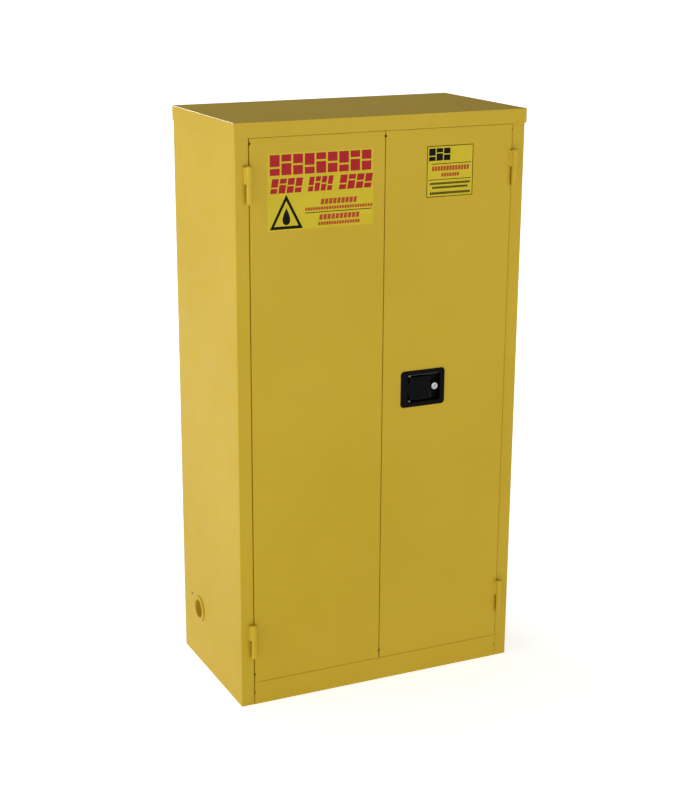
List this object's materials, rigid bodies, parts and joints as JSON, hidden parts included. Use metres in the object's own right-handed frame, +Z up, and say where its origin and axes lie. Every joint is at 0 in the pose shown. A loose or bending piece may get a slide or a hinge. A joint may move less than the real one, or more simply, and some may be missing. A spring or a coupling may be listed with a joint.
{
  "type": "flammable storage cabinet",
  "caption": "Tall double-walled steel safety cabinet with swing-open doors, flush paddle latch and key lock, adjustable shelf trays, leak-proof sump and capped side vents.",
  "frame": {"origin": "centre of the whole cabinet's footprint box, on the floor", "axes": "+X to the right seen from the front, +Y from the doors to the back, +Z up"},
  "size_m": [0.875, 0.4862, 1.651],
  "materials": {
    "yellow_powder_coat": "semi-gloss powder coat with a fine orange-peel texture",
    "primed_steel": "grey primer, sealed inside the walls",
    "galvanised_steel": "galvanised",
    "zinc_plated_steel": "bright zinc plating",
    "black_plastic": "fine matt moulded texture",
    "chrome": "polished",
    "nylon": "moulded nylon",
    "label_vinyl": "satin vinyl, printed",
    "screen_mesh": "perforated stainless sheet"
  },
  "bodies": {
    "cabinet": {"back_spacers": "primed_steel", "bonding_nut": "zinc_plated_steel", "floor_pan": "yellow_powder_coat", "floor_spacers": "primed_steel", "header_channel": "yellow_powder_coat", "hinge_frame_leaves_left": "yellow_powder_coat", "hinge_frame_leaves_right": "yellow_powder_coat", "hinge_pins": "zinc_plated_steel", "inner_back": "yellow_powder_coat", "inner_side_left": "yellow_powder_coat", "inner_side_right": "yellow_powder_coat", "inner_top": "yellow_powder_coat", "kick_panel": "yellow_powder_coat", "outer_back": "yellow_powder_coat", "outer_base": "yellow_powder_coat", "outer_side_left": "yellow_powder_coat", "outer_side_right": "yellow_powder_coat", "roof_spacers": "primed_steel", "shelf_clips": "galvanised_steel", "shelf_lower": "galvanised_steel", "shelf_standard_left_front": "galvanised_steel", "shelf_standard_left_rear": "galvanised_steel", "shelf_standard_right_front": "galvanised_steel", "shelf_standard_right_rear": "galvanised_steel", "shelf_upper": "galvanised_steel", "side_spacers": "primed_steel", "sill_channel": "yellow_powder_coat", "top_cap": "yellow_powder_coat", "vent_screen_high": "screen_mesh", "vent_screen_low": "screen_mesh", "vent_sleeve_high": "yellow_powder_coat", "vent_sleeve_low": "yellow_powder_coat"},
    "left_door": {"left_door_outer_pan": "yellow_powder_coat", "left_door_inner_pan": "yellow_powder_coat", "left_door_stiffener": "primed_steel", "hinge_door_leaves_left": "yellow_powder_coat", "hazard_label": "label_vinyl"},
    "right_door": {"right_door_outer_pan": "yellow_powder_coat", "right_door_inner_pan": "yellow_powder_coat", "right_door_stiffener": "primed_steel", "hinge_door_leaves_right": "yellow_powder_coat", "data_label": "label_vinyl", "latch_dish": "black_plastic", "paddle_pin": "zinc_plated_steel", "paddle_spring": "zinc_plated_steel", "lock_housing": "chrome", "lock_nut": "zinc_plated_steel", "hub_stud": "zinc_plated_steel", "rod_guides": "nylon"},
    "paddle": {"latch_paddle": "black_plastic"},
    "hub": {"latch_hub": "zinc_plated_steel"},
    "upper_rod_body": {"upper_rod": "zinc_plated_steel"},
    "lower_rod_body": {"lower_rod": "zinc_plated_steel"},
    "bolt": {"centre_bolt": "zinc_plated_steel"},
    "lock": {"lock_plug": "chrome", "lock_cam": "zinc_plated_steel"},
    "low_vent_plug": {"vent_plug_low": "yellow_powder_coat"},
    "high_vent_plug": {"vent_plug_high": "yellow_powder_coat"}
  },
  "joints": [
    {"name": "left_door_swing", "type": "hinge", "parent": "cabinet", "child": "left_door", "pos_m": [-0.39775, -0.23465, 0.8], "axis": [0, 0, -1], "range_deg": [0, 180]},
    {"name": "right_door_swing", "type": "hinge", "parent": "cabinet", "child": "right_door", "pos_m": [0.39775, -0.23465, 0.8], "axis": [0, 0, 1], "range_deg": [0, 180]},
    {"name": "paddle_pull", "type": "hinge", "parent": "right_door", "child": "paddle", "pos_m": [0.0875, -0.21935, 0.8828], "axis": [0, 0, -1], "range_deg": [0, 35], "stiffness_Nm_per_rad": 0.5, "springref_deg": -11.46},
    {"name": "hub_turn", "type": "hinge", "parent": "right_door", "child": "hub", "pos_m": [0.1015, -0.20295, 0.8828], "axis": [0, 1, 0], "range_deg": [0, 32.5]},
    {"name": "upper_rod_slide", "type": "slide", "parent": "right_door", "child": "upper_rod_body", "axis": [0, 0, -1], "range_m": [0, 0.0135]},
    {"name": "lower_rod_slide", "type": "slide", "parent": "right_door", "child": "lower_rod_body", "axis": [0, 0, 1], "range_m": [0, 0.0135]},
    {"name": "centre_bolt_slide", "type": "slide", "parent": "right_door", "child": "bolt", "axis": [1, 0, 0], "range_m": [0, 0.0125]},
    {"name": "lock_turn", "type": "hinge", "parent": "right_door", "child": "lock", "pos_m": [0.1665, -0.22765, 0.8828], "axis": [0, 1, 0], "range_deg": [0, 90]},
    {"name": "low_vent_plug_turn", "type": "hinge", "parent": "cabinet", "child": "low_vent_plug", "pos_m": [-0.4335, 0.11265, 0.1696], "axis": [-1, 0, 0], "range_deg": [0, 360]},
    {"name": "high_vent_plug_turn", "type": "hinge", "parent": "cabinet", "child": "high_vent_plug", "pos_m": [0.4335, 0.11265, 1.4814], "axis": [1, 0, 0], "range_deg": [0, 360]}
  ],
  "couplings": [
    {"joint": "hub_turn", "follows": "paddle_pull", "ratio": 0.91429},
    {"joint": "upper_rod_slide", "follows": "paddle_pull", "m_per_rad": 0.021659},
    {"joint": "lower_rod_slide", "follows": "paddle_pull", "m_per_rad": 0.021659},
    {"joint": "centre_bolt_slide", "follows": "paddle_pull", "m_per_rad": 0.019854}
  ]
}
